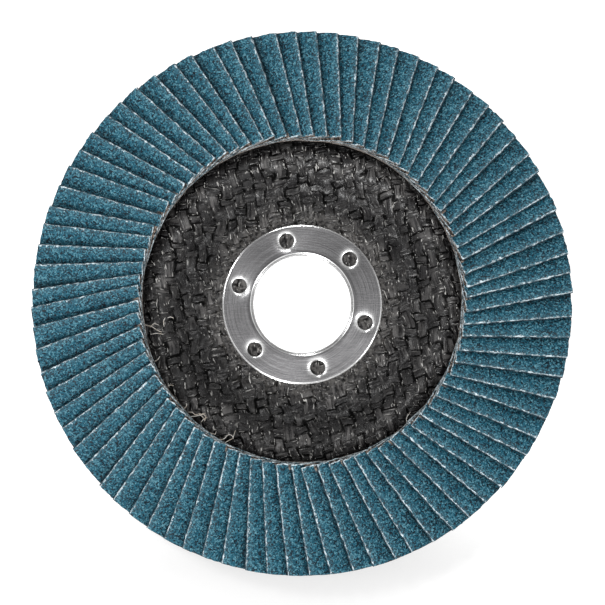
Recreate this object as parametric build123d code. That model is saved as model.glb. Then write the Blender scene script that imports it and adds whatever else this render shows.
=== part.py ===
from build123d import *
import math
import os

os.makedirs("parts", exist_ok=True)

# Conical flap disc for an angle grinder. All sizes are in millimetres and degrees.
# The origin is on the bore axis, in the back face of the hub.
# +Z is the disc's axis and points to the working side, where the flaps are.

# Sizes of the whole disc
disc_diameter = 125.0
bore_diameter = 22.23

# Backing plate, one hot-pressed laminate of woven glass and resin
plate_thickness = 2.5
step_width = 6.4
step_height = 5.8
rim_fall_angle = 12.0
bend_radius = 3.0
crest_inset = 3.8
flap_overhang = 4.5

# Top layer of the plate's plain weave, whose warp floats stand a little proud of the weft
tow_pitch = 2.6
float_length = 2.3
float_width = 1.8
float_height = 0.2
float_root = 0.5
weave_turn = 10.0
weave_margin = 0.3

# Hub ring, one steel eyelet pressed through the plate
sheet_thickness = 0.5
flange_diameter = 37.0
flange_edge_chamfer = 0.15
back_lip_width = 3.0
sheet_bend_radius = 0.3
collar_clearance = 0.1
bend_relief = 0.1
key_hole_count = 6
key_hole_diameter = 3.1
key_hole_inset = 3.35
key_hole_countersink = 0.2
first_key_hole_angle = 43.7

# Flaps, each one flat piece of abrasive cloth
flap_count = 80
flap_length = 25.2
flap_width = 20.5
flap_thickness = 0.9
flap_clearance = 0.03
first_flap_angle = 1.1
flaps_per_pair = 2

# Adhesive that beds the low edges of the flaps
bed_thickness = 0.3
bed_rim_margin = 1.0
seat_clearance = 0.05

# Worked out from the sizes above
disc_radius = disc_diameter / 2
bore_radius = bore_diameter / 2
collar_radius = bore_radius + sheet_thickness
plate_bore_radius = collar_radius + collar_clearance
back_lip_radius = bore_radius + back_lip_width
back_recess_radius = back_lip_radius + collar_clearance
flange_radius = flange_diameter / 2
hub_front_z = plate_thickness
ring_front_z = hub_front_z + sheet_thickness
crest_z = hub_front_z + step_height
step_angle = math.degrees(math.atan2(step_height, step_width))
rim_fall = math.radians(rim_fall_angle)
plate_radius = disc_radius - flap_overhang
flap_pitch = 360 / flap_count
flap_plan_length = flap_length * math.cos(rim_fall)


def find_flap_lean():
    """Angle at which each flap lies on the next one, set by the inner ends of their low edges.

    The flaps are most crowded there. Two neighbours, one pitch apart, then stand a flap's
    thickness and the clearance apart, measured square to their faces.
    """
    nearest_reach = math.sqrt(disc_radius ** 2 - (flap_width / 2) ** 2) - flap_plan_length
    upright_spacing = (flap_thickness + flap_clearance) / math.cos(rim_fall)
    rise_per_turn = upright_spacing / math.radians(flap_pitch)
    return math.asin((rise_per_turn + flap_width / 2 * math.tan(rim_fall)) / nearest_reach)


flap_lean = find_flap_lean()
flap_half_plan = flap_width / 2 * math.cos(flap_lean)
flap_corner_offset = flap_half_plan + flap_thickness * math.sin(flap_lean)
flap_outer_reach = math.sqrt(disc_radius ** 2 - flap_corner_offset ** 2)
flap_inner_reach = flap_outer_reach - flap_plan_length
crest_radius = flap_inner_reach - crest_inset
hub_flat_radius = crest_radius - step_width


def rim_front_z(radius):
    """Height of the plate's sloping front face at a radius outside the crest."""
    return crest_z - (radius - crest_radius) * math.tan(rim_fall)


def mitred_back_point(point, angle_before, angle_after):
    """Corner of the back face behind a corner of the front face, one plate thickness away."""
    middle = math.radians(angle_before + angle_after) / 2
    half_turn = math.radians(angle_after - angle_before) / 2
    reach = plate_thickness / math.cos(half_turn)
    return (point[0] + reach * math.sin(middle), point[1] - reach * math.cos(middle))


def plate_front(first, last, lift):
    """Front outline of the dished plate between two radii, raised by lift."""
    points = [
        (first, hub_front_z + lift),
        (hub_flat_radius, hub_front_z + lift),
        (crest_radius, crest_z + lift),
        (last, rim_front_z(last) + lift),
    ]
    return FilletPolyline(*points, radius=[bend_radius, bend_radius + plate_thickness])


def plate_back(first, last):
    """Back outline of the dished plate from the rim to a radius on the hub."""
    points = [
        (first, rim_front_z(first) - plate_thickness / math.cos(rim_fall)),
        mitred_back_point((crest_radius, crest_z), step_angle, -rim_fall_angle),
        mitred_back_point((hub_flat_radius, hub_front_z), 0, step_angle),
        (last, 0),
    ]
    return FilletPolyline(*points, radius=[bend_radius, bend_radius + plate_thickness])


def turned(outline):
    """Solid of revolution about the disc's axis from a closed outline of radius and height."""
    return revolve(make_face(Plane.XZ * outline), Axis.Z)


def make_plate_body():
    """Dished plate: flat hub with a recess for the ring's lip, a step, and a conical rim."""
    relief = sheet_bend_radius + bend_relief
    front = plate_front(plate_bore_radius + relief, plate_radius, 0)
    back = plate_back(plate_radius, back_recess_radius)
    rim = Line(front @ 1, back @ 0)
    bore = Polyline(
        back @ 1,
        (back_recess_radius, sheet_thickness),
        (plate_bore_radius + relief, sheet_thickness),
        (plate_bore_radius, sheet_thickness + relief),
        (plate_bore_radius, hub_front_z - relief),
        front @ 0,
    )
    return turned(front + rim + back + bore)


def float_places():
    """Centres of the warp floats, every second crossing of the tows, that lie in the open dish."""
    half_diagonal = math.hypot(float_length, float_width) / 2
    inner = flange_radius + weave_margin + half_diagonal
    outer = flap_inner_reach - weave_margin - half_diagonal
    reach = math.ceil(outer / tow_pitch)
    places = []
    for column in range(-reach, reach + 1):
        for row in range(-reach, reach + 1):
            radius = tow_pitch * math.hypot(column, row)
            if (column + row) % 2 == 0 and inner < radius < outer:
                places.append((column * tow_pitch, row * tow_pitch))
    return places


def make_weave():
    """Raised warp floats, cut from a layer that follows the plate's front and roots in it."""
    inner = flange_radius + weave_margin
    top = plate_front(inner, plate_radius, float_height)
    bottom = plate_front(inner, plate_radius, -float_root)
    layer = turned(top + Line(top @ 1, bottom @ 1) + bottom + Line(bottom @ 0, top @ 0))
    floats = Sketch() + Locations(*float_places()) * Rectangle(float_width, float_length)
    return layer & extrude(Rot(0, 0, weave_turn) * floats, amount=2 * crest_z)


def make_backing_plate():
    """One laminate: the dished plate and the floats of its top layer."""
    return make_plate_body() + make_weave()


def make_hub_ring():
    """Steel eyelet: front flange, collar through the plate, and a lip turned out at the back."""
    outside = FilletPolyline(
        (flange_radius, ring_front_z),
        (bore_radius, ring_front_z),
        (bore_radius, 0),
        (back_lip_radius, 0),
        radius=sheet_bend_radius + sheet_thickness,
    )
    inside = FilletPolyline(
        (back_lip_radius, sheet_thickness),
        (collar_radius, sheet_thickness),
        (collar_radius, hub_front_z),
        (flange_radius, hub_front_z),
        radius=sheet_bend_radius,
    )
    lip_edge = Line(outside @ 1, inside @ 0)
    flange_edge = Line(inside @ 1, outside @ 0)
    ring = turned(outside + lip_edge + inside + flange_edge)
    front_edges = ring.edges().filter_by(GeomType.CIRCLE).group_by(Axis.Z)[-1]
    ring = chamfer(front_edges.sort_by(SortBy.RADIUS)[-1], flange_edge_chamfer)

    hole = CounterSinkHole(
        radius=key_hole_diameter / 2,
        counter_sink_radius=key_hole_diameter / 2 + key_hole_countersink,
        depth=2 * sheet_thickness,
    )
    hole_circle = PolarLocations(flange_radius - key_hole_inset, key_hole_count, first_key_hole_angle)
    return ring - Pos(0, 0, ring_front_z) * hole_circle * hole


def flap_seat(reach):
    """Point under a flap's low edge, on top of the adhesive, for a flap that points along +X."""
    radius = math.hypot(reach, flap_half_plan)
    return Vector(reach, flap_half_plan, rim_front_z(radius) + bed_thickness + seat_clearance)


def make_flap():
    """One flap along +X: its low edge lies on the adhesive and its clockwise edge stands up."""
    low = flap_seat(flap_inner_reach)
    across = Vector(0, -math.cos(flap_lean), math.sin(flap_lean)) * flap_width
    thickness = Vector(0, math.sin(flap_lean), math.cos(flap_lean)) * flap_thickness
    corners = [low, low + across, low + across + thickness, low + thickness]
    along = flap_seat(flap_outer_reach) - low
    return extrude(make_face(Polyline(*corners, close=True)), amount=along.length, dir=along)


def make_adhesive_bed():
    """Thin conical layer on the plate's rim, from the flaps' inner ends to near the plate's edge."""
    inner = flap_inner_reach
    outer = plate_radius - bed_rim_margin
    outline = Polyline(
        (inner, rim_front_z(inner)),
        (outer, rim_front_z(outer)),
        (outer, rim_front_z(outer) + bed_thickness),
        (inner, rim_front_z(inner) + bed_thickness),
        close=True,
    )
    return turned(outline)


def main():
    export_step(make_backing_plate(), "parts/backing_plate.step")
    export_step(make_hub_ring(), "parts/hub_ring.step")
    export_step(make_adhesive_bed(), "parts/adhesive_bed.step")
    flap = make_flap()
    for pair in range(flap_count // flaps_per_pair):
        numbers = range(pair * flaps_per_pair, (pair + 1) * flaps_per_pair)
        flaps = [Rot(0, 0, first_flap_angle + number * flap_pitch) * flap for number in numbers]
        export_step(Compound(flaps), f"parts/flap_pair_{pair + 1:02d}.step")


main()
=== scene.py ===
"""Flap disc for an angle grinder: leaning abrasive flaps on a dished woven plate with a steel ring.

The disc's axis is +Z and the hub's back face lies in the plane z = 0. Lengths are in metres and
sizes are written in millimetres times MM.
"""

import math

import bpy
import numpy as np
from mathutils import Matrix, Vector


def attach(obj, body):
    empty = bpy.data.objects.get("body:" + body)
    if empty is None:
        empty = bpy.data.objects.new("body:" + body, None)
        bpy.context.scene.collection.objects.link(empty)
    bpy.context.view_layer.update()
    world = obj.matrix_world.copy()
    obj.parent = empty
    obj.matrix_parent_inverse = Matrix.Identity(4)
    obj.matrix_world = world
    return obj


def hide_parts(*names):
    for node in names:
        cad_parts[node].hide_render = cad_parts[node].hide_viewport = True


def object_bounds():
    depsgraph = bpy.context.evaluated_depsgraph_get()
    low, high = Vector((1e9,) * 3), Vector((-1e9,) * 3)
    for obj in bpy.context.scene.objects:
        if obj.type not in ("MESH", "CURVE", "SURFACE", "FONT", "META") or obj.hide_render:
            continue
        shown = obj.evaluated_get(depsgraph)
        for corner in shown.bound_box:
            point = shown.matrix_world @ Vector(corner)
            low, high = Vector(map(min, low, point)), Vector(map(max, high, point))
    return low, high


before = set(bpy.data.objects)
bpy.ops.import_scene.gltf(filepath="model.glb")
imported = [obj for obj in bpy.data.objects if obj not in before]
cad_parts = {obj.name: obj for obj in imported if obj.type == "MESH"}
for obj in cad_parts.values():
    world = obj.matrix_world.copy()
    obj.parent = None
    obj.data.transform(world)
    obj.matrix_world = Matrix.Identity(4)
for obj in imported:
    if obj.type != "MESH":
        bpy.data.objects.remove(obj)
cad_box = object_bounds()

bl_info = {
    "name": "Flap disc",
    "version": (1, 0, 0),
    "blender": (4, 5, 0),
    "location": "View3D > Sidebar > Flap disc",
    "description": "Makes the flaps, woven plate, steel ring and threads of a conical flap disc",
    "category": "Mesh",
}

MM = 0.001
PER_MM = 1000.0
SEED = 5
# How far a warp float grows at each end, in tows.
WARP_GROWTH = 0.15

FLAP_NODES = sorted(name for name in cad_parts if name.startswith("flap_pair_"))
DISC_RADIUS = min(cad_box[1][0], cad_box[1][1])

# Plan positions in millimetres of the loose threads' bends.
LOOSE_THREADS = [
    [(-36.9, -4.6), (-35.8, -5.3), (-34.4, -5.6), (-33.2, -6.5), (-32.1, -6.9)],
    [(-34.8, -5.8), (-33.9, -4.9), (-32.8, -5.3)],
    [(-34.6, -7.4), (-33.2, -7.2), (-31.8, -7.4)],
    [(-34.1, -13.7), (-33.2, -13.4), (-32.8, -13.0), (-32.5, -12.5)],
    [(-30.7, -19.2), (-30.0, -19.0), (-29.3, -19.2)],
    [(-27.7, -24.5), (-26.7, -24.3), (-26.3, -23.6), (-26.5, -23.2)],
    [(-26.0, -25.2), (-25.1, -25.2), (-24.4, -25.9), (-23.3, -25.5), (-22.6, -25.9)],
    [(-23.5, -25.7), (-22.8, -26.2), (-22.1, -27.1)],
    [(-22.8, -25.5), (-21.9, -26.2), (-22.3, -27.3)],
    [(-21.6, -26.4), (-22.6, -26.9), (-23.0, -27.5)],
    [(-26.0, -26.2), (-24.7, -26.2), (-23.3, -25.9), (-22.1, -25.5)],
    [(-21.9, -29.4), (-21.2, -29.9), (-20.5, -30.1), (-19.8, -30.3), (-19.6, -29.6)],
    [(-19.6, -31.3), (-18.6, -31.5), (-17.7, -31.3), (-17.2, -30.6), (-16.6, -30.3),
     (-15.9, -30.6), (-15.6, -31.3)],
    [(-19.1, -32.9), (-17.9, -32.4), (-16.8, -31.7), (-15.9, -31.3), (-15.6, -30.6),
     (-15.2, -29.4)],
    [(23.5, -28.9), (24.0, -27.8), (23.7, -26.6), (24.7, -25.2)],
    [(24.0, -27.8), (24.9, -27.3), (25.6, -26.4)],
    [(-31.4, -3.5), (-31.8, -4.4), (-31.6, -5.6)],
    [(-30.9, -3.5), (-30.2, -3.2), (-29.5, -3.5)],
]


def linear(red, green, blue):
    """Linear colour from screen values between 0 and 255."""
    screen = np.array([red, green, blue]) / 255
    value = np.where(screen <= 0.04045, screen / 12.92, ((screen + 0.055) / 1.055) ** 2.4)
    return (*value.tolist(), 1.0)


def colour_property(name, description, screen):
    """Colour setting whose default is given in screen values."""
    default = linear(*screen)
    return bpy.props.FloatVectorProperty(
        name=name, description=description, default=default, subtype="COLOR", size=4, min=0, max=1
    )


def length_property(name, description, millimetres):
    default = millimetres * MM
    return bpy.props.FloatProperty(
        name=name, description=description, default=default, unit="LENGTH", precision=5
    )


def angle_property(name, description, degrees):
    default = math.radians(degrees)
    return bpy.props.FloatProperty(
        name=name, description=description, default=default, unit="ROTATION", subtype="ANGLE"
    )


# ---------- settings


class FlapSettings(bpy.types.PropertyGroup):
    """Sizes and colours of the abrasive flaps."""

    width: length_property("Width", "Size of a flap across, up its lean", 20.5)
    length: length_property("Length", "Size of a flap along the rim's fall", 25.2)
    thickness: length_property("Thickness", "Cloth and grain together", 0.9)
    lean: angle_property("Lean", "Angle at which a flap lies on its neighbour", 22.707)
    fall: angle_property("Fall", "Angle at which the flaps' low edges fall outwards", 11.77)
    inner_reach: length_property("Inner reach", "From the axis to the inner ends", 37.077)
    seat_height: length_property("Seat height", "Height of the low inner corners", 7.590)
    first_angle: angle_property("First angle", "Direction of the first flap", 1.1)
    bare_width: length_property("Bare width", "Part of a flap that may lie bare", 6.0)
    bare_start: length_property("Bare start", "Bare part at the inner end", 2.77)
    bare_growth: angle_property("Bare growth", "Angle at which the bare part widens", 4.7674)
    grain_depth: length_property("Grain depth", "Roughness of the grain's relief", 0.045)
    fray: length_property("Fray", "How far the cut edges wander", 0.08)
    overreach: length_property("Overreach", "Extra reach before the outer ends are ground", 0.12)
    skew: length_property("Skew", "How much longer a flap is at its high edge", 0.65)
    ovality: length_property("Ovality", "How much nearer the flaps stand at the sides", 0.5)
    grain_dark: colour_property("Dark grain", "Hollows between the grains", (0, 18, 30))
    grain_mid: colour_property("Grain", "Most of the grain", (20, 90, 111))
    grain_light: colour_property("Light grain", "Clear grains that catch the light", (98, 152, 168))
    grain_haze: colour_property("Haze", "Dust on the high edges", (132, 156, 164))
    cut_colour: colour_property("Cut edge", "Bare threads of the cut edges", (232, 247, 254))
    cloth_colour: colour_property("Cloth", "Resin-soaked backing cloth", (118, 108, 98))


class PlateSettings(bpy.types.PropertyGroup):
    """Sizes and colours of the woven plate."""

    thickness: length_property("Thickness", "Laminate thickness", 2.5)
    hub_flat_radius: length_property("Hub flat radius", "Where the flat hub ends", 26.877)
    crest_radius: length_property("Crest radius", "Where the step meets the sloping rim", 33.277)
    crest_height: length_property("Crest height", "Height of the front at the crest", 8.3)
    radius: length_property("Radius", "Outer radius of the plate", 58.0)
    fall: angle_property("Fall", "Angle at which the rim falls outwards", 12.0)
    bend_radius: length_property("Bend radius", "Inner radius of the plate's bends", 3.0)
    tow_pitch: length_property("Tow pitch", "Distance between neighbouring tows", 2.6)
    weave_turn: angle_property("Weave turn", "Direction of the weave", 10.0)
    weave_height: length_property("Weave height", "Rise of a tow over its neighbour", 0.32)
    tow_wander: length_property("Tow wander", "How far the tows stray sideways", 0.28)
    covered_width: length_property("Covered width", "Part of the rim under flaps", 20.2)
    resin: colour_property("Resin", "Dark glossy resin", (20, 19, 20))
    glass: colour_property("Glass", "Strands that show through the resin", (104, 102, 101))
    # Colour of strands bare of resin, also used for painted glints.
    dry_glass_and_glint: colour_property("Dry glass", "Strands that lie bare of resin", (214, 212, 208))
    dust: colour_property("Dust", "Grey dust round the ring", (118, 115, 112))


class RingSettings(bpy.types.PropertyGroup):
    """Finish of the steel hub ring."""

    hole_circle: length_property("Hole circle", "Radius on which the six holes lie", 15.15)
    hole_radius: length_property("Hole radius", "Radius of a hole", 1.55)
    first_hole: angle_property("First hole", "Direction of the first hole", 43.7)
    flange_radius: length_property("Flange radius", "Outer radius of the flange", 18.5)
    steel: colour_property("Steel", "Brushed steel", (202, 201, 203))


class ThreadSettings(bpy.types.PropertyGroup):
    """Sizes and colour of the loose threads."""

    radius: length_property("Radius", "Radius of a thread at its middle", 0.09)
    lift: length_property("Lift", "Height over the plate's smooth surface", 0.75)
    pale: colour_property("Pale thread", "Clean part of a thread", (255, 252, 246))
    tan: colour_property("Tan thread", "Resin-stained part of a thread", (222, 210, 194))


class StageSettings(bpy.types.PropertyGroup):
    """Camera, floor and light."""

    view_angle: angle_property("View angle", "Height of the camera above the horizon", 85.0)
    distance: length_property("Distance", "From the camera to the ring", 650.0)
    frame_width: length_property("Frame width", "Width of the picture at the ring", 139.7)
    floor: colour_property("Floor", "Pale floor", (250, 250, 250))


# ---------- node helpers


class Tree:
    """Node tree of a material or a world, with short calls that add and join its nodes."""

    def __init__(self, owner):
        self.owner = owner
        owner.use_nodes = True
        self.nodes = owner.node_tree.nodes
        self.links = owner.node_tree.links

    def join(self, socket, value):
        if isinstance(value, bpy.types.NodeSocket):
            self.links.new(value, socket)
        else:
            socket.default_value = value

    def add(self, kind, inputs, **settings):
        """New node with its settings, and with values or other nodes' outputs on its inputs."""
        node = self.nodes.new(kind)
        for name, value in settings.items():
            setattr(node, name, value)
        for socket, value in inputs.items():
            self.join(node.inputs[socket], value)
        return node

    def place(self):
        """The piece's own coordinates in millimetres."""
        coordinates = self.add("ShaderNodeTexCoord", {}).outputs["Object"]
        scaled = {0: coordinates, 1: (PER_MM, PER_MM, PER_MM)}
        return self.add("ShaderNodeVectorMath", scaled, operation="MULTIPLY").outputs[0]

    def attribute(self, name):
        return self.add("ShaderNodeAttribute", {}, attribute_name=name).outputs["Vector"]

    def stretch(self, vector, scale, turn=0.0):
        """The coordinates turned about Z and scaled along each axis."""
        inputs = {"Vector": vector, "Rotation": (0, 0, turn), "Scale": scale}
        return self.add("ShaderNodeMapping", inputs).outputs["Vector"]

    def parts(self, vector):
        return self.add("ShaderNodeSeparateXYZ", {"Vector": vector}).outputs

    def vector(self, x, y, z):
        return self.add("ShaderNodeCombineXYZ", {"X": x, "Y": y, "Z": z}).outputs[0]

    def noise(self, vector, scale, detail=2.0, roughness=0.5):
        inputs = {"Vector": vector, "Scale": scale, "Detail": detail, "Roughness": roughness}
        return self.add("ShaderNodeTexNoise", inputs).outputs["Fac"]

    def cells(self, vector, scale, randomness=1.0):
        """A number between 0 and 1 for each cell of a Voronoi pattern."""
        inputs = {"Vector": vector, "Scale": scale, "Randomness": randomness}
        colour = self.add("ShaderNodeTexVoronoi", inputs).outputs["Color"]
        return self.parts(colour)["X"]

    def calculate(self, operation, first, second=0.0, third=0.0):
        inputs = {0: first, 1: second, 2: third}
        return self.add("ShaderNodeMath", inputs, operation=operation).outputs[0]

    def product(self, first, *others):
        for other in others:
            first = self.calculate("MULTIPLY", first, other)
        return first

    def largest(self, first, *others):
        for other in others:
            first = self.calculate("MAXIMUM", first, other)
        return first

    def total(self, start, *terms):
        """start plus, for each term, its value times its weight."""
        for value, weight in terms:
            start = self.calculate("MULTIPLY_ADD", value, weight, start)
        return start

    def minus(self, first, second):
        return self.calculate("SUBTRACT", first, second)

    def apart(self, first, second):
        """How far two numbers lie from each other."""
        return self.calculate("ABSOLUTE", self.minus(first, second))

    def distance(self, x, y):
        """Length of the vector (x, y)."""
        return self.calculate("SQRT", self.total(self.product(x, x), (y, y)))

    def between(self, value, low, high, start=0.0, end=1.0):
        """start where the value is at or under low, end at or over high, and smooth between."""
        inputs = {"Value": value, "From Min": low, "From Max": high, "To Min": start, "To Max": end}
        node = self.add("ShaderNodeMapRange", inputs, interpolation_type="SMOOTHSTEP")
        return node.outputs["Result"]

    def under(self, value, low, high):
        """1 where the value is at or under low, 0 at or over high, and smooth between."""
        return self.between(value, low, high, 1.0, 0.0)

    def band(self, value, low, high, falls_from, falls_to):
        """Rises from 0 to 1 between low and high, and falls to 0 again between the last two."""
        return self.product(self.between(value, low, high), self.under(value, falls_from, falls_to))

    def mix(self, factor, first, second):
        """Number between two others."""
        return self.add("ShaderNodeMix", {0: factor, 2: first, 3: second}).outputs[0]

    def blend(self, factor, first, second, blend_type="MIX"):
        """Colour between two others, or the product of both with blend_type MULTIPLY."""
        node = self.add("ShaderNodeMix", {}, data_type="RGBA", blend_type=blend_type)
        for socket, value in ((0, factor), (6, first), (7, second)):
            self.join(node.inputs[socket], value)
        return node.outputs[2]

    def ramp(self, factor, stops):
        """Colours at given places between 0 and 1, blended between them."""
        node = self.add("ShaderNodeValToRGB", {"Fac": factor})
        elements = node.color_ramp.elements
        while len(elements) < len(stops):
            elements.new(0.5)
        for element, (position, colour) in zip(elements, stops):
            element.position = position
            element.color = colour
        return node.outputs["Color"]

    def bump(self, height, distance, strength=1.0, normal=None):
        inputs = {"Height": height, "Distance": distance, "Strength": strength}
        if normal is not None:
            inputs["Normal"] = normal
        return self.add("ShaderNodeBump", inputs).outputs["Normal"]

    def finish(self, **sockets):
        """Puts values or outputs on the Principled shader, named with _ for spaces."""
        surface = self.nodes["Principled BSDF"]
        for name, value in sockets.items():
            self.join(surface.inputs[name.replace("_", " ")], value)
        return self.owner


def material_tree(name):
    return Tree(bpy.data.materials.new(name))


def grey(value):
    return (value, value, value, 1.0)


# ---------- materials
# Noise scales are counts in a millimetre or in a tow, and distances are in millimetres or tows.


def speckled_grain(tree, place, settings):
    """Colour and relief height of coarse grain: clear and dark grains in clumps."""
    tone = tree.cells(place, 3.2)
    clumps = tree.noise(place, 1.5, roughness=0.6)
    dust = tree.noise(place, 3.3, roughness=0.8)
    mixed = tree.total(0.0, (clumps, 0.17), (tone, 0.28), (dust, 0.48))
    stops = [
        (0.36, settings.grain_dark),
        (0.45, settings.grain_mid),
        (0.52, settings.grain_mid),
        (0.60, settings.grain_light),
    ]
    return tree.ramp(mixed, stops), mixed


def grain_material(settings):
    """Top of a flap: blue-green grain, worn to pale threads at its edge, with painted shade towards
    the part that the neighbouring flap covers and a darker line of painted shade along the gap
    under the neighbour's edge.
    """
    tree = material_tree("abrasive_grain")
    place = tree.place()
    on_flap = tree.parts(tree.attribute("on_flap"))
    from_edge, along = on_flap["X"], on_flap["Y"]
    ragged = tree.noise(place, 1.7, 3.0, 0.75)
    broken = tree.noise(place, 0.55, roughness=0.6)

    start, growth = settings.bare_start * PER_MM, math.tan(settings.bare_growth)
    from_cover = tree.total(start, (along, growth), (from_edge, -1.0))
    # Painted shade: the grain darkens towards grain_dark where the neighbouring flap covers it.
    clear = tree.between(from_cover, 0.0, 2.0, 0.78)
    colour, height = speckled_grain(tree, place, settings)
    colour = tree.blend(clear, settings.grain_dark, colour)
    # Painted shade: a dark teal line along the crevice under the neighbour's high edge.
    painted_crevice_shade = tree.between(tree.total(from_cover, (ragged, 1.6)), 0.55, 0.80, 0.50, 0.0)
    colour = tree.blend(painted_crevice_shade, colour, linear(0, 26, 38))

    under_cover = tree.under(from_cover, -0.1, 0.1)
    end_dust = tree.product(under_cover, tree.under(along, 1.0, 2.0))
    pale = tree.between(ragged, 0.44, 0.60)
    dusty = tree.blend(pale, linear(34, 35, 36), linear(168, 152, 140))
    colour = tree.blend(end_dust, colour, dusty)
    haze = tree.product(tree.between(from_edge, 0.2, 2.0, 0.10, 0.0), clear)
    colour = tree.blend(haze, colour, settings.grain_haze)

    side_reach = tree.total(-1.46, (ragged, 2.2), (broken, 0.7))
    side = tree.under(tree.minus(from_edge, side_reach), 0.0, 0.05)
    end_reach = tree.total(-0.28, (ragged, 0.9))
    end = tree.between(tree.minus(along, end_reach), 0.0, 0.06, 0.9, 0.0)
    colour = tree.blend(tree.largest(side, end), colour, thread_colour(tree, settings))
    normal = tree.bump(height, 0.16 * MM, 0.7)
    return tree.finish(Base_Color=colour, Roughness=0.55, Normal=normal, Specular_IOR_Level=0.28)


def thread_colour(tree, settings):
    """White fibres with blue-grey stained ones between, in patches about a millimetre wide."""
    place = tree.place()
    fibres = tree.noise(place, 2.6, roughness=0.7)
    patches = tree.noise(place, 0.8, detail=1.0)
    stops = [
        (0.42, linear(60, 104, 120)),
        (0.48, linear(140, 156, 163)),
        (0.53, linear(204, 220, 228)),
        (0.58, settings.cut_colour),
    ]
    return tree.ramp(tree.total(0.0, (fibres, 0.5), (patches, 0.5)), stops)


def cut_edge_material(settings):
    """Cut side of a flap: pale bare threads along its top, and below them dark teal that is partly
    resin-soaked cloth and partly painted shade.
    """
    tree = material_tree("cut_cloth_edge")
    place = tree.place()
    up = tree.parts(tree.attribute("on_flap"))["Z"]
    ragged = tree.noise(place, 1.1, 3.0, 0.7)
    # Painted shade: the lower part of the wall turns dark teal, partly the colour of resin-soaked
    # cloth.
    painted_shade = tree.between(tree.total(up, (ragged, 0.9)), 0.82, 1.04, 0.98, 0.0)
    stain = tree.blend(tree.between(ragged, 0.42, 0.56), linear(6, 38, 52), linear(34, 58, 68))
    colour = tree.blend(painted_shade, thread_colour(tree, settings), stain)
    normal = tree.bump(tree.noise(place, 4.0), 0.12 * MM, 0.6)
    return tree.finish(Base_Color=colour, Roughness=0.85, Normal=normal)


def cut_end_material():
    """Ends of the flaps: grey and pale layers of cloth, near black as painted shade low down, where
    they sink towards the plate.
    """
    tree = material_tree("cut_cloth_end")
    place = tree.place()
    up = tree.parts(tree.attribute("on_flap"))["Z"]
    fibres = tree.noise(place, 2.8, 3.0, 0.75)
    layer = tree.total(-0.35, (up, 0.5), (fibres, 1.5))
    stops = [
        (0.34, linear(34, 33, 33)),
        (0.50, linear(104, 94, 88)),
        (0.60, linear(204, 194, 186)),
        (0.70, linear(128, 118, 112)),
        (0.86, linear(62, 70, 74)),
        (1.00, linear(30, 52, 62)),
    ]
    patches = tree.noise(place, 0.8, 3.0, 0.7)
    height = tree.total(tree.parts(place)["Z"], (patches, 3.0))
    # Painted shade: the ends turn near black low down, towards the plate.
    painted_shade_low = tree.between(height, 11.6, 13.4, 0.92, 0.0)
    colour = tree.blend(painted_shade_low, tree.ramp(layer, stops), linear(12, 12, 12))
    normal = tree.bump(fibres, 0.20 * MM, 0.8)
    return tree.finish(Base_Color=colour, Roughness=0.8, Normal=normal)


def cloth_back_material(settings):
    """Back of a flap: plain cloth soaked with resin, its threads half a millimetre apart."""
    tree = material_tree("backing_cloth")
    fine = tree.stretch(tree.attribute("on_flap"), (2.2, 2.2, 0.0))
    weave = tree.add("ShaderNodeTexChecker", {"Vector": fine, "Scale": 1.0}).outputs["Fac"]
    stain = tree.noise(tree.place(), 0.35, detail=3.0)
    dark = tuple(0.55 * channel for channel in settings.cloth_colour[:3]) + (1.0,)
    colour = tree.blend(tree.between(stain, 0.35, 0.65), dark, settings.cloth_colour)
    normal = tree.bump(weave, 0.05 * MM, 0.5)
    return tree.finish(Base_Color=colour, Roughness=0.75, Normal=normal)


def float_places(tree, tows):
    """Distances along and across the nearest float, and 1 on weft or 0 on warp.

    The floats of a plain weave lie at whole numbers of tows, warp and weft in turns. Those of
    the warp are longer by WARP_GROWTH at each end, as in weave_height.
    """
    parts = tree.parts(tows)
    column = tree.calculate("ROUND", parts["X"])
    swing = tree.calculate("SINE", tree.product(parts["Y"], math.pi))
    odd = tree.calculate("PINGPONG", column, 1.0)
    side = tree.total(-WARP_GROWTH, (odd, 2 * WARP_GROWTH))
    down = tree.total(parts["Y"], (swing, side))
    row = tree.calculate("ROUND", down)
    weft = tree.calculate("PINGPONG", tree.calculate("ADD", column, row), 1.0)
    off_x = tree.apart(parts["X"], column)
    off_y = tree.apart(down, row)
    return tree.mix(weft, off_y, off_x), tree.mix(weft, off_x, off_y), weft


def strand_noise(tree, tows, weft, fineness, length):
    """Noise drawn out along the strands of whichever tow lies on top."""
    warp_noise = tree.noise(tree.stretch(tows, (fineness, length, 1.0)), 1.0, 2.0, 0.6)
    weft_noise = tree.noise(tree.stretch(tows, (length, fineness, 1.0)), 1.0, 2.0, 0.6)
    return tree.mix(weft, warp_noise, weft_noise)


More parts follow.
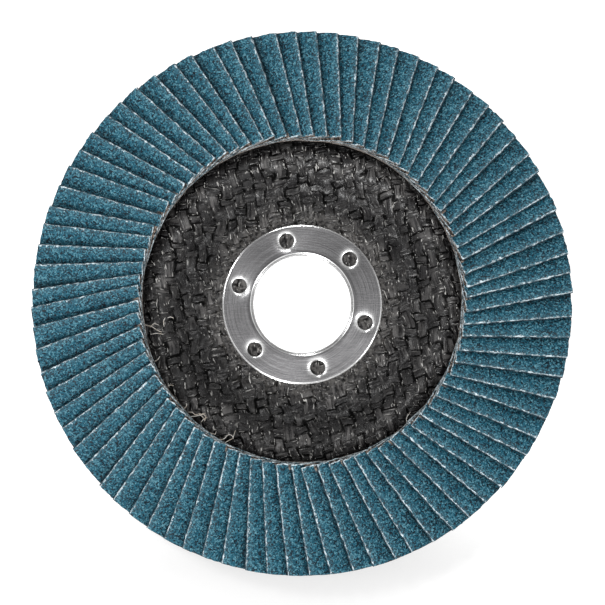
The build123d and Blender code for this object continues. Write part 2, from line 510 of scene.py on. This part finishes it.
def laminate_material(settings):
    """Woven glass in dark glossy resin, with black gaps, pale strands bare of resin that also serve
    as painted glints, and painted shade round the sloping step and just inside the flaps.
    """
    tree = material_tree("woven_laminate")
    place = tree.place()
    parts = tree.parts(place)
    radius = tree.distance(parts["X"], parts["Y"])
    tows = tree.attribute("on_weave")
    along, across, weft = float_places(tree, tows)
    uneven = tree.total(-0.18, (tree.noise(tows, 1.6, detail=3.0), 0.36))
    across = tree.calculate("ADD", across, uneven)
    along = tree.minus(along, uneven)
    gap = tree.largest(tree.between(across, 0.30, 0.40), tree.between(along, 0.40, 0.49))
    gap = tree.product(gap, tree.between(tree.noise(tows, 0.8), 0.40, 0.58, 0.12))

    strands = strand_noise(tree, tows, weft, 3.8, 0.4)
    stain = tree.noise(place, 0.12, 3.0, 0.6)
    # Painted shade: fewer strands and fewer pale dashes show in a band round the sloping step,
    # about 27 mm from the axis.
    painted_shade_radius = 27.0
    painted_shade = tree.between(tree.apart(radius, painted_shade_radius), 1.5, 5.0, 0.40)
    shown = tree.product(
        tree.between(strands, 0.44, 0.58),
        tree.between(tree.cells(tows, 1.0, randomness=0.0), 0.0, 1.0, 0.10),
        tree.mix(weft, 1.1, 0.75),
        tree.between(stain, 0.38, 0.60, 0.25),
        painted_shade,
    )
    colour = tree.blend(shown, settings.resin, settings.glass)
    colour = tree.blend(tree.product(gap, 0.95), colour, linear(4, 4, 4))

    # Partly painted glints: pale dashes of bare glass, with a few more beside the floats' edges.
    beside = tree.between(across, 0.12, 0.30, 0.0, 0.05)
    dry_and_glints = tree.calculate("ADD", strand_noise(tree, tows, weft, 7.0, 1.6), beside)
    dry_and_glints = tree.between(dry_and_glints, 0.66, 0.70, 0.0, tree.mix(weft, 0.95, 0.55))
    colour = tree.blend(tree.product(dry_and_glints, painted_shade), colour, settings.dry_glass_and_glint)
    dust = tree.between(tree.noise(place, 1.1, 3.0, 0.7), 0.42, 0.62)
    near_ring = tree.between(radius, 18.4, 24.5, 0.50, 0.0)
    colour = tree.blend(tree.product(dust, near_ring), colour, settings.dust)
    # Painted shadow: a ragged near-black band on the plate just inside the flaps' inner ends.
    ragged = tree.total(radius, (tree.noise(place, 0.9, detail=3.0), 2.4))
    painted_shadow_near_flaps = tree.between(ragged, 36.8, 37.4, 0.0, 0.60)
    colour = tree.blend(painted_shadow_near_flaps, colour, linear(6, 6, 6))

    pits = tree.noise(place, 1.4, 3.0, 0.65)
    normal = tree.bump(tree.total(strands, (gap, -1.5)), 0.20 * MM, 0.8)
    normal = tree.bump(pits, 0.22 * MM, 0.5, normal)
    return tree.finish(
        Base_Color=colour,
        Roughness=tree.between(pits, 0.3, 0.7, 0.14, 0.34),
        Normal=normal,
        Specular_IOR_Level=tree.total(0.5, (gap, -0.45)),
    )


def beyond_hole(tree, radius, angle, settings):
    """Distance from the edge of the nearest hole, found in one sixth of the ring."""
    sixth = math.radians(60)
    onwards = tree.minus(angle, settings.first_hole - sixth / 2 - 2 * math.pi)
    folded = tree.minus(tree.calculate("MODULO", onwards, sixth), sixth / 2)
    east = tree.product(radius, tree.calculate("COSINE", folded))
    north = tree.product(radius, tree.calculate("SINE", folded))
    beside = tree.minus(east, settings.hole_circle * PER_MM)
    return tree.minus(tree.distance(beside, north), settings.hole_radius * PER_MM)


def ring_material(settings):
    """Brushed steel, with painted highlights where the outer edge, the lip and the pressed halos
    round the holes are paler, and painted shade in a ring round the lip.
    """
    tree = material_tree("ring_steel")
    place = tree.place()
    parts = tree.parts(place)
    radius = tree.distance(parts["X"], parts["Y"])
    angle = tree.calculate("ARCTAN2", parts["Y"], parts["X"])
    halo = tree.calculate("POWER", 0.19, beyond_hole(tree, radius, angle, settings))
    dent = tree.between(tree.noise(place, 0.20, detail=0.0), 0.35, 0.65, 0.34, 0.52)
    edge = settings.flange_radius * PER_MM
    rim = tree.calculate("DIVIDE", tree.minus(radius, edge - 0.42), 0.27)
    rim = tree.add("ShaderNodeClamp", {"Value": rim}).outputs[0]
    bevel = tree.largest(tree.minus(radius, edge - 0.15), 0.0)
    # Outwards from the bore: a darker band on the collar, the lip, which carries a painted
    # highlight, and the groove round it, darkened as painted shade.
    darker_band = tree.band(radius, 11.25, 11.40, 11.62, 11.78)
    lip = tree.under(radius, 11.80, 12.08)
    painted_groove_shade = tree.band(radius, 11.9, 12.1, 12.2, 13.1)

    turns = tree.stretch(tree.vector(radius, angle, parts["Z"]), (7.0, 1.2, 1.0))
    rings = tree.noise(turns, 1.0, 3.0, 0.7)
    strokes = tree.stretch(place, (0.25, 6.0, 1.0), 0.7)
    scratches = tree.noise(strokes, 1.0, 3.0, 0.7)
    specks = tree.between(tree.noise(place, 3.0, roughness=0.7), 0.35, 0.65, -0.10, 0.10)
    marks = tree.total(rings, (scratches, 0.6))
    wear_and_painted_shade = tree.between(marks, 0.62, 0.98, 0.66, 1.26)
    wear_and_painted_shade = tree.total(wear_and_painted_shade, (specks, 1.0), (painted_groove_shade, -0.30), (darker_band, -0.40))
    # Painted highlights: the outer edge, the lip and the halos round the holes are paler steel.
    bright = tree.between(tree.largest(rim, lip, halo), 0.0, 0.5)
    tone = tree.blend(bright, settings.steel, grey(0.92))
    dents = (tree.product(halo, dent), -1.0)
    rolled = (rim, -0.055), (bevel, 0.45), (lip, -0.10)
    height = tree.total(0.0, dents, *rolled, (marks, 0.008), (radius, -0.09))
    level = tree.stretch(place, (1.0, 1.0, 0.0))
    outwards = tree.add("ShaderNodeVectorMath", {0: level}, operation="NORMALIZE")
    return tree.finish(
        Base_Color=tree.blend(1.0, tone, tree.vector(wear_and_painted_shade, wear_and_painted_shade, wear_and_painted_shade), "MULTIPLY"),
        Metallic=1.0,
        Roughness=0.26,
        Normal=tree.bump(height, 1.0 * MM),
        Anisotropic=0.5,
        Tangent=outwards.outputs[0],
    )


def adhesive_material():
    """Cured epoxy: near black, partly its own colour and partly painted shade under the flaps, with
    a few amber patches.
    """
    tree = material_tree("epoxy_adhesive")
    patches = tree.noise(tree.place(), 1.6, 3.0, 0.65)
    # Painted shade: most of the bed is near black, where the flaps shade it.
    stops = [(0.46, linear(7, 6, 6)), (0.62, linear(22, 19, 17)), (0.76, linear(112, 96, 76))]
    normal = tree.bump(patches, 0.3 * MM, 0.5)
    return tree.finish(Base_Color=tree.ramp(patches, stops), Roughness=0.3, Normal=normal)


def thread_material(settings):
    """Loose cotton and polyester thread."""
    tree = material_tree("loose_thread")
    tone = tree.noise(tree.place(), 1.2)
    stops = [(0.40, settings.tan), (0.58, settings.pale)]
    return tree.finish(Base_Color=tree.ramp(tone, stops), Roughness=0.8)


# ---------- mesh helpers


def grid_quads(rows, columns, closed=False):
    """Corners of a grid's quads. Each row is closed on itself, and each column too if closed."""
    points = np.arange(rows * columns).reshape(rows, columns)
    if closed:
        points = np.concatenate([points, points[:1]])
    beside = np.roll(points, -1, axis=1)
    return np.stack([points[:-1], beside[:-1], beside[1:], points[1:]], axis=-1).reshape(-1, 4)


def new_piece(name, points, quads, rings=(), smooth=False):
    """Mesh object from points, quads and further faces of many corners, outward side first."""
    mesh = bpy.data.meshes.new(name)
    corners = np.concatenate([quads.ravel(), *rings]).astype(np.int32)
    sizes = np.array([4] * len(quads) + [len(ring) for ring in rings], dtype=np.int32)
    starts = np.cumsum(sizes, dtype=np.int32) - sizes
    mesh.vertices.add(len(points))
    mesh.vertices.foreach_set("co", points.astype(np.float32).ravel())
    mesh.loops.add(len(corners))
    mesh.loops.foreach_set("vertex_index", corners)
    mesh.polygons.add(len(sizes))
    mesh.polygons.foreach_set("loop_start", starts)
    mesh.polygons.foreach_set("loop_total", sizes)
    mesh.polygons.foreach_set("use_smooth", np.full(len(sizes), smooth))
    mesh.update(calc_edges=True)
    mesh.validate()
    piece = bpy.data.objects.new(name, mesh)
    bpy.context.scene.collection.objects.link(piece)
    return piece


def set_attribute(piece, name, values):
    """Three numbers at each point that the piece's material reads."""
    layer = piece.data.attributes.new(name, "FLOAT_VECTOR", "POINT")
    layer.data.foreach_set("vector", values.astype(np.float32).ravel())


def dress(piece, materials):
    """Materials of a new piece, and the body that it rides on."""
    for material in materials:
        piece.data.materials.append(material)
    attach(piece, "root")


def finish_node(name, material):
    """Gives one of the solids its material and leaves its mesh as it is."""
    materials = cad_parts[name].data.materials
    materials.clear()
    materials.append(material)


def softened(values, times, axis):
    """Noise blurred along one axis: each pass takes the mean of a point and its neighbours."""
    for _ in range(times):
        before = np.roll(values, 1, axis=axis)
        after = np.roll(values, -1, axis=axis)
        values = (before + 2 * values + after) / 4
    return values


def ripples(x, y, rng, wavelength):
    """Smooth noise near 1 in size: a sum of plane waves with random directions and phases."""
    count = 7
    total = np.zeros_like(x)
    for _ in range(count):
        direction = rng.uniform(0, 2 * math.pi)
        length = wavelength * rng.uniform(0.7, 1.5)
        phase = rng.uniform(0, 2 * math.pi)
        forward = x * math.cos(direction) + y * math.sin(direction)
        total += np.sin(2 * math.pi * forward / length + phase)
    return total * math.sqrt(2 / count)


def unit(vectors):
    """The same directions with a length of 1."""
    return vectors / np.linalg.norm(vectors, axis=-1, keepdims=True)


def turned(x, y, angle):
    """Plan coordinates turned about the axis."""
    c, s = np.cos(angle), np.sin(angle)
    return x * c - y * s, x * s + y * c


def rounded_path(corners, radii):
    """Path through corners, each rounded by a tangent arc of its radius.

    An arc touches both runs at radius * tan(turn / 2) from its corner, and its centre lies on
    the line that halves the corner.
    """
    corners = [np.array(corner) for corner in corners]
    path = [corners[0]]
    for before, corner, after, radius in zip(corners, corners[1:], corners[2:], radii):
        into, away = unit(corner - before), unit(after - corner)
        turn = math.atan2(into[0] * away[1] - into[1] * away[0], into @ away)
        side = math.copysign(1, turn) * np.array([-into[1], into[0]])
        start = corner - into * radius * math.tan(abs(turn) / 2)
        for step in np.linspace(0, abs(turn), 12):
            path.append(start + radius * (into * np.sin(step) + side * (1 - np.cos(step))))
    return np.array([*path, corners[-1]])


def distances(path):
    """Distance of each point of a path from its start, along the path."""
    return np.concatenate([[0], np.cumsum(np.linalg.norm(np.diff(path, axis=0), axis=1))])


def sample(path, measures, stations):
    """Points of a plan path at given stations, from the measure of each of its corners."""
    return np.stack([np.interp(stations, measures, path[:, axis]) for axis in (0, 1)], axis=1)


# ---------- flaps


class FLAPDISC_OT_flaps(bpy.types.Operator):
    """Make the leaning flaps, each with grain relief and frayed cut edges"""

    bl_idname = "flap_disc.flaps"
    bl_label = "Make flaps"

    def execute(self, context):
        settings = context.scene.flap_settings
        rng = np.random.default_rng(SEED)
        count = 2 * len(FLAP_NODES)
        local, on_flap, quads, rings, faces = flap_mesh(settings, rng, count)
        points = place_flaps(local, settings, rng)
        materials = [
            grain_material(settings),
            cut_edge_material(settings),
            cloth_back_material(settings),
            cut_end_material(),
        ]
        size = local.shape[1]
        quads = np.concatenate([quads, quads + size])
        rings = [*rings, *(ring + size for ring in rings)]
        indices = np.concatenate([faces, faces, np.full(len(rings), 3)]).astype(np.int32)
        for number, node in enumerate(FLAP_NODES):
            pair = slice(2 * number, 2 * number + 2)
            name = f"flaps_{number + 1:02d}"
            piece = new_piece(name, points[pair].reshape(-1, 3), quads, rings)
            set_attribute(piece, "on_flap", on_flap[pair].reshape(-1, 3) * PER_MM)
            piece.data.polygons.foreach_set("material_index", indices)
            dress(piece, materials)
            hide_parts(node)
        return {"FINISHED"}


def flap_stations(settings):
    """Outline of a flap's section: distances from the high edge and heights through the cloth.

    The third result numbers the material of each side: grain 0, cut edge 1 and cloth back 2.
    """
    width = settings.width
    thickness = settings.thickness
    bare = np.arange(0.0, settings.bare_width, 0.28 * MM)
    covered = np.linspace(settings.bare_width, width, 5)
    top = np.concatenate([bare, covered])[::-1]
    high_wall = np.array([0.70, 0.40, 0.12]) * thickness
    bottom = np.array([0.0, 0.10, 0.25, 0.5, 0.8, 1.0]) * width
    from_edge = np.concatenate([top, np.zeros(len(high_wall)), bottom])
    up = np.concatenate([np.full(len(top), thickness), high_wall, np.zeros(len(bottom))])
    sides = [len(top) - 1, len(high_wall) + 1, len(bottom) - 1, 1]
    kinds = np.repeat([0, 1, 2, 1], sides)
    return from_edge, up, kinds


def flap_mesh(settings, rng, count):
    """Every flap in its own axes, as a section's outline carried along the flap.

    x runs from the high edge to the low one, y from the inner end to the outer, and z up through
    the cloth. The bare part's top has random relief, and the outline wanders at the cut edges.
    The inner end is cut askew: it reaches furthest inwards at the high edge.
    """
    from_edge, up, kinds = flap_stations(settings)
    columns = len(from_edge)
    rows = 88
    along = np.linspace(0, settings.length, rows)
    shape = (count, rows, columns)
    x = np.broadcast_to(from_edge, shape).copy()
    y = np.broadcast_to(along[:, None], shape).copy()
    z = np.broadcast_to(up, shape).copy()
    on_flap = np.stack([x, y, z], axis=-1)

    bare_top = (up == settings.thickness) & (from_edge < settings.bare_width)
    grains = rng.normal(0, 1, shape)
    clumps = softened(softened(rng.normal(0, 1, shape), 2, 1), 2, 2)
    z += settings.grain_depth * (grains + 1.6 * clumps) * bare_top * (from_edge > 0)
    layers = softened(rng.normal(0, 1, shape), 1, 1)
    whole_edge = softened(rng.normal(0, 1, (count, rows, 1)), 4, 1)
    x += settings.fray * (layers + whole_edge) * (from_edge == 0)
    corner = (from_edge == 0) & (up == settings.thickness)
    z += 0.5 * settings.fray * (np.abs(rng.normal(0, 1, shape)) - 0.5) * corner
    ends = np.zeros(rows)
    ends[[0, -1]] = 1
    y += 1.3 * settings.fray * softened(rng.normal(0, 1, shape), 1, 2) * ends[:, None]
    y -= settings.skew * (1 - x / settings.width) * (1 - along / settings.length)[:, None]

    local = np.stack([x, y, z], axis=-1).reshape(count, rows * columns, 3)
    on_flap = on_flap.reshape(count, rows * columns, 3)
    quads = grid_quads(rows, columns)
    first_ring = np.arange(columns)
    last_ring = first_ring[::-1] + (rows - 1) * columns
    return local, on_flap, quads, [first_ring, last_ring], np.tile(kinds, rows - 1)


def place_flaps(local, settings, rng):
    """Flaps in the disc's axes: leaned, laid on the falling rim, turned in plan and spread round.

    Each has its own small error of angle, lean, yaw and reach, as flaps glued by a machine do.
    At the disc's sides, along X, they stand nearer to the axis by the ovality. Most of each
    outer end is stretched or shortened to the disc's circle, and the rest is ground round.
    """
    count = len(local)
    usual = np.array([math.radians(0.24), math.radians(0.28), math.radians(0.8), 0.10 * MM])
    errors = np.clip(rng.normal(0, 1, (4, count)), -1.8, 1.8)
    angle_error, lean_error, yaw, reach_error = (usual[:, None] * errors)[..., None]
    ground = DISC_RADIUS - 0.05 * MM * (1 + np.abs(errors[0]))[:, None]
    spread = 2 * math.pi / count * np.arange(count)[:, None]
    angle = settings.first_angle + spread + angle_error
    lean = settings.lean + lean_error
    nearer = settings.ovality / 2 * (1 + np.cos(2 * angle))
    reach = settings.inner_reach + settings.overreach + reach_error - nearer

    rise = settings.width - local[..., 0]
    up = local[..., 2]
    half_plan = settings.width / 2 * math.cos(settings.lean)
    y = half_plan - rise * np.cos(lean) + up * np.sin(lean)
    end_ovality = 1.7
    end_roundness = 0.8
    to_circle = np.sqrt((ground - end_ovality * nearer) ** 2 - y**2) - reach
    plan_length = settings.length * math.cos(settings.fall)
    along = local[..., 1] * (1 - end_roundness + end_roundness * to_circle / plan_length)
    x = along * math.cos(settings.fall)
    z = settings.seat_height - along * math.sin(settings.fall)
    z = np.minimum(z + rise * np.sin(lean) + up * np.cos(lean), cad_box[1][2])

    middle = settings.length / 2
    x, y = turned(x - middle, y, yaw)
    x += middle + reach
    inwards = np.minimum(ground / np.hypot(x, y), 1)
    return np.stack([*turned(x * inwards, y * inwards, angle), z], axis=-1)


# ---------- woven plate


class FLAPDISC_OT_plate(bpy.types.Operator):
    """Make the dished plate with the relief of its woven tows"""

    bl_idname = "flap_disc.plate"
    bl_label = "Make woven plate"

    def execute(self, context):
        settings = context.scene.plate_settings
        rng = np.random.default_rng(SEED + 1)
        points, on_weave, rows, columns = plate_surface(settings, rng)
        quads = grid_quads(rows, columns, closed=True)
        piece = new_piece("woven_plate", points, quads, smooth=True)
        piece.data.set_sharp_from_angle(angle=math.radians(60))
        set_attribute(piece, "on_weave", on_weave)
        dress(piece, [laminate_material(settings)])
        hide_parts("backing_plate")
        return {"FINISHED"}


def weave_height(x, y, rng):
    """Relief of a plain weave between 0 and about 1, from coordinates counted in tows.

    Floats lie at whole numbers, warp and weft in turns, the warp's longer by WARP_GROWTH at each
    end. A float rises as a cosine along its length and as (1 - s^4)^0.5 across, s being the
    distance from its middle over its half width. Rippled resin fills the deepest places.
    """
    size = 64
    half_width = rng.uniform(0.36, 0.42, (size, size))
    lift = rng.uniform(0.75, 1.15, (size, size))
    column = np.rint(x).astype(int)
    y = y - WARP_GROWTH * np.sin(math.pi * y) * (1 - 2 * (column % 2))
    row = np.rint(y).astype(int)
    on_warp = (column + row) % 2 == 0
    along = np.where(on_warp, y - row, x - column)
    across = np.where(on_warp, x - column, y - row)
    cell = column % size, row % size
    side = np.abs(across) / half_width[cell]
    crown = 0.30 + 0.70 * np.cos(math.pi * along)
    height = lift[cell] * crown * np.sqrt(np.clip(1 - side**4, 0, 1))
    filled = 0.30 + 0.22 * ripples(x, y, rng, 3.0)
    return np.maximum(height, filled)


def plate_outline(settings):
    """Section of the plate: its front outwards, its back inwards, then the bore's wall.

    The rows lie close together where the front shows its weave. The second result counts the
    front's points.
    """
    thickness = settings.thickness
    step_width = settings.crest_radius - settings.hub_flat_radius
    step = math.atan2(settings.crest_height - thickness, step_width)
    rim_fall = (settings.radius - settings.crest_radius) * math.tan(settings.fall)
    rim_front = settings.crest_height - rim_fall
    rim_back = rim_front - thickness / math.cos(settings.fall)

    def behind(corner, before, after):
        middle = (before + after) / 2
        reach = thickness / math.cos((after - before) / 2)
        return (corner[0] + reach * math.sin(middle), corner[1] - reach * math.cos(middle))

    hub_corner = (settings.hub_flat_radius, thickness)
    crest = (settings.crest_radius, settings.crest_height)
    bore, recess = 11.715 * MM, 14.215 * MM
    depth, relief = 0.5 * MM, 0.4 * MM
    radii = [settings.bend_radius, settings.bend_radius + thickness]
    front = rounded_path(
        [(bore + relief, thickness), hub_corner, crest, (settings.radius, rim_front)], radii
    )
    back_crest = behind(crest, step, -settings.fall)
    back_hub = behind(hub_corner, 0, step)
    back = rounded_path([(settings.radius, rim_back), back_crest, back_hub, (recess, 0)], radii)
    bore_wall = [(recess, depth), (bore, depth + relief), (bore, thickness - relief)]

    measures = distances(front)
    covered_from = measures[-1] - settings.covered_width
    ring_edge = 5.8 * MM
    stations = np.concatenate([
        [0.0, 3.0 * MM],
        np.arange(ring_edge, covered_from, 0.20 * MM),
        np.linspace(covered_from, measures[-1], 7),
    ])
    front_points = sample(front, measures, stations)
    measures = distances(back)
    back_points = sample(back, measures, np.linspace(0, measures[-1], 18))
    return np.concatenate([front_points, back_points, bore_wall]), len(stations)


def plate_surface(settings, rng):
    """Plate as its section's outline turned about the axis, pushed out by the weave's relief."""
    outline, front_count = plate_outline(settings)
    columns = 704
    tangent = unit(np.roll(outline, -1, axis=0) - np.roll(outline, 1, axis=0))
    normal = np.stack([-tangent[:, 1], tangent[:, 0]], axis=1)
    angle = np.linspace(0, 2 * math.pi, columns, endpoint=False)
    plan_x, plan_y = turned(outline[:, :1], 0, angle)

    bend_x = plan_x + settings.tow_wander * ripples(plan_x, plan_y, rng, 9 * MM)
    bend_y = plan_y + settings.tow_wander * ripples(plan_x, plan_y, rng, 9 * MM)
    tow_x, tow_y = np.stack(turned(bend_x, bend_y, -settings.weave_turn)) / settings.tow_pitch
    height = weave_height(tow_x, tow_y, rng)

    woven_radii = np.array([18.6, 19.0, 38.0, 40.0]) * MM
    amount = np.interp(outline[:, 0], woven_radii, [0, 1, 1, 0])
    amount[front_count:] = 0
    smooth_level = 0.6
    push = settings.weave_height * amount[:, None] * (height - smooth_level)
    plan_x, plan_y = turned(outline[:, :1] + push * normal[:, :1], 0, angle)
    points = np.stack([plan_x, plan_y, outline[:, 1:] + push * normal[:, 1:]], axis=-1)
    on_weave = np.stack([tow_x, tow_y, np.zeros_like(tow_x)], axis=-1)
    return points.reshape(-1, 3), on_weave.reshape(-1, 3), len(outline), columns


# ---------- ring, adhesive and threads


class FLAPDISC_OT_ring(bpy.types.Operator):
    """Give the pressed hub ring its brushed steel, with painted highlights and painted shade"""

    bl_idname = "flap_disc.ring"
    bl_label = "Finish hub ring"

    def execute(self, context):
        finish_node("hub_ring", ring_material(context.scene.ring_settings))
        return {"FINISHED"}


class FLAPDISC_OT_adhesive(bpy.types.Operator):
    """Give the adhesive bed its cured epoxy"""

    bl_idname = "flap_disc.adhesive"
    bl_label = "Finish adhesive bed"

    def execute(self, context):
        finish_node("adhesive_bed", adhesive_material())
        return {"FINISHED"}


class FLAPDISC_OT_threads(bpy.types.Operator):
    """Make the loose threads that hang from the flaps' inner ends"""

    bl_idname = "flap_disc.threads"
    bl_label = "Make loose threads"

    def execute(self, context):
        settings = context.scene.thread_settings
        plate = context.scene.plate_settings
        points, quads, rings = [], [], []
        for line in LOOSE_THREADS:
            tube, tube_quads, ends = thread_tube(np.array(line) * MM, settings, plate)
            start = sum(len(part) for part in points)
            points.append(tube)
            quads.append(tube_quads + start)
            rings.extend(end + start for end in ends)
        points, quads = np.concatenate(points), np.concatenate(quads)
        piece = new_piece("loose_threads", points, quads, rings, smooth=True)
        dress(piece, [thread_material(settings)])
        return {"FINISHED"}


def thread_tube(line, settings, plate):
    """Thin tube through a smoothed plan line, a little above the plate, thinner at its ends."""
    sides = 6
    bends = np.arange(len(line))
    path = sample(line, bends, np.linspace(0, bends[-1], 6 * len(line)))
    for _ in range(6):
        path[1:-1] = (path[:-2] + 2 * path[1:-1] + path[2:]) / 4
    beyond = np.hypot(path[:, 0], path[:, 1]) - plate.crest_radius
    rise = plate.crest_height - plate.thickness
    inner_slope = rise / (plate.crest_radius - plate.hub_flat_radius)
    fall = np.where(beyond > 0, -beyond * math.tan(plate.fall), beyond * inner_slope)
    middle = np.column_stack([path, plate.crest_height + fall + settings.lift])
    forward = unit(np.gradient(middle, axis=0))
    side = unit(np.cross(forward, [0.0, 0.0, 1.0]))
    above = np.cross(side, forward)
    turn = np.linspace(0, 2 * math.pi, sides, endpoint=False)[:, None]
    thin = np.sin(np.linspace(0.25, math.pi - 0.25, len(middle))) ** 0.4 * settings.radius
    around = np.cos(turn) * side[:, None] - np.sin(turn) * above[:, None]
    points = middle[:, None] + thin[:, None, None] * around
    first = np.arange(sides)
    last = first[::-1] + sides * (len(middle) - 1)
    return points.reshape(-1, 3), grid_quads(len(middle), sides), [first, last]


# ---------- stage


class FLAPDISC_OT_stage(bpy.types.Operator):
    """Make the floor, the soft studio light and the camera above the disc"""

    bl_idname = "flap_disc.stage"
    bl_label = "Make stage"

    def execute(self, context):
        settings = context.scene.stage_settings
        make_floor(settings)
        make_light()
        make_camera(settings)
        context.scene.view_settings.view_transform = "Standard"
        return {"FINISHED"}


def make_floor(settings):
    """Pale floor that looks white to the camera and in reflections, and keeps soft shadows.

    It lies a hair below the hub's back face, so that the two never share a plane.
    """
    size = 3.0
    level = -0.02 * MM
    outline = ((-size, -size), (size, -size), (size, size), (-size, size))
    corners = np.array([(x, y, level) for x, y in outline])
    floor = new_piece("floor", corners, np.array([[0, 1, 2, 3]]))
    tree = material_tree("pale_floor")
    matt = tree.add("ShaderNodeBsdfDiffuse", {"Color": settings.floor}).outputs[0]
    soft = tree.add("ShaderNodeBsdfDiffuse", {"Color": grey(0.80)}).outputs[0]
    # Painted light: the floor's glow is strong behind and beside the disc, where it washes out the
    # disc's shadow, and weak in front of it, where the soft shadow shows.
    front = tree.parts(tree.place())["Y"]
    strength = tree.between(front, -62.0, -34.0, 0.22, 0.80)
    glow = tree.add("ShaderNodeEmission", {"Color": grey(1.0), "Strength": strength}).outputs[0]
    bright = tree.add("ShaderNodeAddShader", {0: soft, 1: glow}).outputs[0]
    path = tree.add("ShaderNodeLightPath", {}).outputs
    rays = ("Is Camera Ray", "Is Glossy Ray", "Is Transmission Ray")
    seen = tree.largest(*(path[ray] for ray in rays))
    surface = tree.add("ShaderNodeMixShader", {0: seen, 1: matt, 2: bright}).outputs[0]
    tree.join(tree.nodes["Material Output"].inputs["Surface"], surface)
    floor.data.materials.append(tree.owner)


def make_light():
    """Even room, a key low in front and three weaker lamps round the disc.

    The camera and reflections see a white room that is dim overhead, where the camera stands.
    """
    world = bpy.data.worlds.new("studio")
    bpy.context.scene.world = world
    tree = Tree(world)
    direction = tree.add("ShaderNodeTexCoord", {}).outputs["Generated"]
    overhead = (-0.06, 0.40, 0.915)
    both = {0: direction, 1: overhead}
    nearness = tree.add("ShaderNodeVectorMath", both, operation="DOT_PRODUCT").outputs["Value"]
    outer, inner = math.cos(math.radians(56)), math.cos(math.radians(2))
    dim = tree.between(nearness, outer, inner, 1.0, 0.18)
    path = tree.add("ShaderNodeLightPath", {}).outputs
    level = tree.mix(path["Is Diffuse Ray"], dim, 0.52)
    level = tree.mix(path["Is Camera Ray"], level, 1.0)
    tree.join(tree.nodes["Background"].inputs["Color"], grey(1.0))
    tree.join(tree.nodes["Background"].inputs["Strength"], level)
    add_lamp("key", 250, 42, 0.30, 5.5)
    add_lamp("left_lamp", 150, 50, 0.20, 1.6)
    add_lamp("right_lamp", 335, 50, 0.20, 1.4)
    add_lamp("far_lamp", 95, 48, 0.20, 1.6)


def add_lamp(name, azimuth, elevation, size, power):
    """Square area lamp that faces the disc from a direction given in degrees."""
    distance = 1.1
    turn = math.radians(azimuth)
    tilt = math.radians(elevation)
    light = bpy.data.lights.new(name, "AREA")
    light.shape = "SQUARE"
    light.size = size
    light.energy = power
    lamp = bpy.data.objects.new(name, light)
    level = distance * math.cos(tilt)
    lamp.location = (level * math.cos(turn), level * math.sin(turn), distance * math.sin(tilt))
    lamp.rotation_euler = (math.pi / 2 - tilt, 0, turn + math.pi / 2)
    bpy.context.scene.collection.objects.link(lamp)


def make_camera(settings):
    """Camera high in front of the disc, aimed a little beside the ring's centre."""
    data = bpy.data.cameras.new("camera")
    data.sensor_width = 36.0
    data.lens = data.sensor_width * settings.distance / settings.frame_width
    camera = bpy.data.objects.new("camera", data)
    aim = np.array([0.08, 0.38, 3.0]) * MM
    tilt = settings.view_angle
    camera.location = aim + settings.distance * np.array([0, -math.cos(tilt), math.sin(tilt)])
    camera.rotation_euler = (math.pi / 2 - tilt, 0, 0)
    bpy.context.scene.collection.objects.link(camera)
    bpy.context.scene.camera = camera


# ---------- panel and registration


class FLAPDISC_PT_panel(bpy.types.Panel):
    """Buttons that make each part of the flap disc"""

    bl_idname = "FLAPDISC_PT_panel"
    bl_label = "Flap disc"
    bl_space_type = "VIEW_3D"
    bl_region_type = "UI"
    bl_category = "Flap disc"

    def draw(self, context):
        for operator in OPERATORS:
            self.layout.operator(operator.bl_idname)
        for name in SETTINGS:
            box = self.layout.box()
            group = getattr(context.scene, name)
            for setting in group.bl_rna.properties.keys():
                if setting not in ("rna_type", "name"):
                    box.prop(group, setting)


SETTINGS = {
    "flap_settings": FlapSettings,
    "plate_settings": PlateSettings,
    "ring_settings": RingSettings,
    "thread_settings": ThreadSettings,
    "stage_settings": StageSettings,
}
OPERATORS = (
    FLAPDISC_OT_flaps,
    FLAPDISC_OT_plate,
    FLAPDISC_OT_ring,
    FLAPDISC_OT_adhesive,
    FLAPDISC_OT_threads,
    FLAPDISC_OT_stage,
)


def register():
    for name, group in SETTINGS.items():
        bpy.utils.register_class(group)
        setattr(bpy.types.Scene, name, bpy.props.PointerProperty(type=group))
    for operator in OPERATORS:
        bpy.utils.register_class(operator)
    bpy.utils.register_class(FLAPDISC_PT_panel)


def unregister():
    bpy.utils.unregister_class(FLAPDISC_PT_panel)
    for operator in reversed(OPERATORS):
        bpy.utils.unregister_class(operator)
    for name, group in SETTINGS.items():
        delattr(bpy.types.Scene, name)
        bpy.utils.unregister_class(group)


def main():
    register()
    bpy.ops.flap_disc.flaps()
    bpy.ops.flap_disc.plate()
    bpy.ops.flap_disc.ring()
    bpy.ops.flap_disc.adhesive()
    bpy.ops.flap_disc.threads()
    bpy.ops.flap_disc.stage()


if __name__ == "__main__":
    main()
